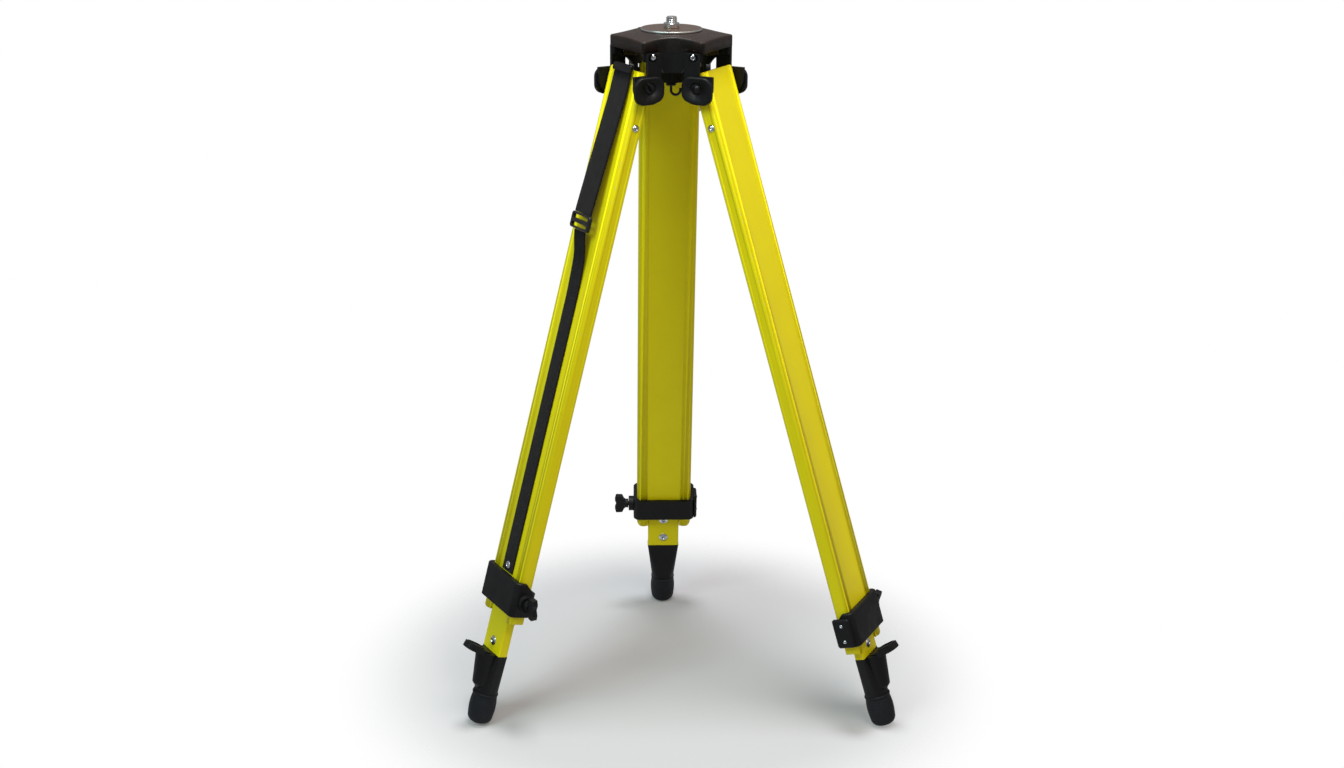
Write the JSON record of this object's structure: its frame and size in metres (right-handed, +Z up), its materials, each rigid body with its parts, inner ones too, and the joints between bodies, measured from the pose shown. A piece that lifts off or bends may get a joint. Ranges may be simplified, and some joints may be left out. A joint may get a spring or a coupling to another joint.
{
  "type": "surveying tripod",
  "caption": "Three-legged stand with telescopic yellow legs, black lobed head, round seat with a centring screw, and a carrying strap",
  "frame": {"origin": "middle of the round instrument seat's top face, on the screw's axis, with the centring at mid travel", "axes": "+Z up along the instrument screw; +Y from the middle towards the back leg; the other two legs stand at 210 and 330 degrees from +X, anticlockwise seen from above"},
  "size_m": [0.6316, 0.4832, 1.0055],
  "materials": {
    "head_paint": "satin black paint on cast aluminium",
    "black_moulding": "fine-grained glass-filled nylon, moulded",
    "gloss_moulding": "smooth acetal, moulded",
    "zinc_steel": "bright zinc plating",
    "black_steel": "black oxide on turned steel",
    "bright_steel": "bright turned steel",
    "seat_alloy": "champagne anodised, fine turning lines",
    "brass": "plain turned",
    "nylon": "natural nylon",
    "yellow_paint": "satin powder coat on extruded aluminium",
    "rubber": "dull moulded rubber",
    "webbing": "woven black webbing"
  },
  "bodies": {
    "head": {"head_plate": "head_paint", "hinge_brackets": "black_moulding", "skirt_screws": "zinc_steel", "hinge_caps": "black_moulding", "hinge_bolts": "black_steel", "arm_bolt": "black_steel"},
    "arm": {"centring_arm": "black_steel"},
    "carriage": {"seat_disc": "seat_alloy", "screw_sleeve": "brass", "friction_washer": "nylon"},
    "screw": {"instrument_screw": "bright_steel", "screw_knob": "black_moulding", "plumb_hook": "black_steel"},
    "leg_back": {"upper_leg_back": "yellow_paint", "leg_head_back": "black_moulding", "leg_head_screws_back": "zinc_steel", "clamp_collar_back": "black_moulding", "clamp_block_back": "black_moulding", "clamp_block_screws_back": "zinc_steel", "pressure_pad_back": "brass"},
    "lower_back": {"lower_leg_back": "yellow_paint", "lower_guide_back": "nylon", "tang_screws_back": "zinc_steel", "foot_shoe_back": "black_moulding", "foot_point_back": "bright_steel", "foot_boot_back": "rubber"},
    "wing_back": {"wing_screw_back": "black_moulding"},
    "leg_left": {"upper_leg_left": "yellow_paint", "leg_head_left": "black_moulding", "leg_head_screws_left": "zinc_steel", "clamp_collar_left": "black_moulding", "clamp_block_left": "black_moulding", "clamp_block_screws_left": "zinc_steel", "pressure_pad_left": "brass", "strap_shoulder": "webbing", "strap_buckle": "gloss_moulding", "strap_tail": "webbing", "strap_rivet": "zinc_steel", "strap_anchor": "black_steel"},
    "lower_left": {"lower_leg_left": "yellow_paint", "lower_guide_left": "nylon", "tang_screws_left": "zinc_steel", "foot_shoe_left": "black_moulding", "foot_point_left": "bright_steel", "foot_boot_left": "rubber"},
    "wing_left": {"wing_screw_left": "black_moulding"},
    "leg_right": {"upper_leg_right": "yellow_paint", "leg_head_right": "black_moulding", "leg_head_screws_right": "zinc_steel", "clamp_collar_right": "black_moulding", "clamp_block_right": "black_moulding", "clamp_block_screws_right": "zinc_steel", "pressure_pad_right": "brass"},
    "lower_right": {"lower_leg_right": "yellow_paint", "lower_guide_right": "nylon", "tang_screws_right": "zinc_steel", "foot_shoe_right": "black_moulding", "foot_point_right": "bright_steel", "foot_boot_right": "rubber"},
    "wing_right": {"wing_screw_right": "black_moulding"}
  },
  "joints": [
    {"name": "arm_swing", "type": "hinge", "parent": "head", "child": "arm", "pos_m": [0.03118, 0.018, -0.0295], "axis": [0, 0, 1], "range_deg": [-12, 12]},
    {"name": "carriage_slide", "type": "slide", "parent": "arm", "child": "carriage", "axis": [0.866, 0.5, 0], "range_m": [-0.009, 0.009]},
    {"name": "screw_turn", "type": "hinge", "parent": "carriage", "child": "screw", "pos_m": [0, 0, 0.003], "axis": [0, 0, 1], "continuous": true},
    {"name": "leg_swing_back", "type": "hinge", "parent": "head", "child": "leg_back", "pos_m": [0, 0.068, -0.07], "axis": [-1, 0, 0], "range_deg": [-34.3, 10.7]},
    {"name": "leg_slide_back", "type": "slide", "parent": "leg_back", "child": "lower_back", "axis": [0, 0.1857, -0.9826], "range_m": [-0.0284, 0.46]},
    {"name": "wing_turn_back", "type": "hinge", "parent": "leg_back", "child": "wing_back", "pos_m": [0, 0.20595, -0.80008], "axis": [-1, 0, 0], "range_deg": [-180, 180]},
    {"name": "leg_swing_left", "type": "hinge", "parent": "head", "child": "leg_left", "pos_m": [-0.05889, -0.034, -0.07], "axis": [0.5, -0.866, 0], "range_deg": [-29.3, 15.7]},
    {"name": "leg_slide_left", "type": "slide", "parent": "leg_left", "child": "lower_left", "axis": [-0.2343, -0.1353, -0.9627], "range_m": [-0.0428, 0.46]},
    {"name": "wing_turn_left", "type": "hinge", "parent": "leg_left", "child": "wing_left", "pos_m": [-0.23395, -0.13507, -0.78913], "axis": [0.5, -0.866, 0], "range_deg": [-180, 180]},
    {"name": "leg_swing_right", "type": "hinge", "parent": "head", "child": "leg_right", "pos_m": [0.05889, -0.034, -0.07], "axis": [0.5, 0.866, 0], "range_deg": [-27.1, 17.9]},
    {"name": "leg_slide_right", "type": "slide", "parent": "leg_right", "child": "lower_right", "axis": [0.2662, -0.1537, -0.9516], "range_m": [-0.0015, 0.46]},
    {"name": "wing_turn_right", "type": "hinge", "parent": "leg_right", "child": "wing_right", "pos_m": [0.27157, -0.15679, -0.83032], "axis": [0.5, 0.866, 0], "range_deg": [-180, 180]}
  ]
}
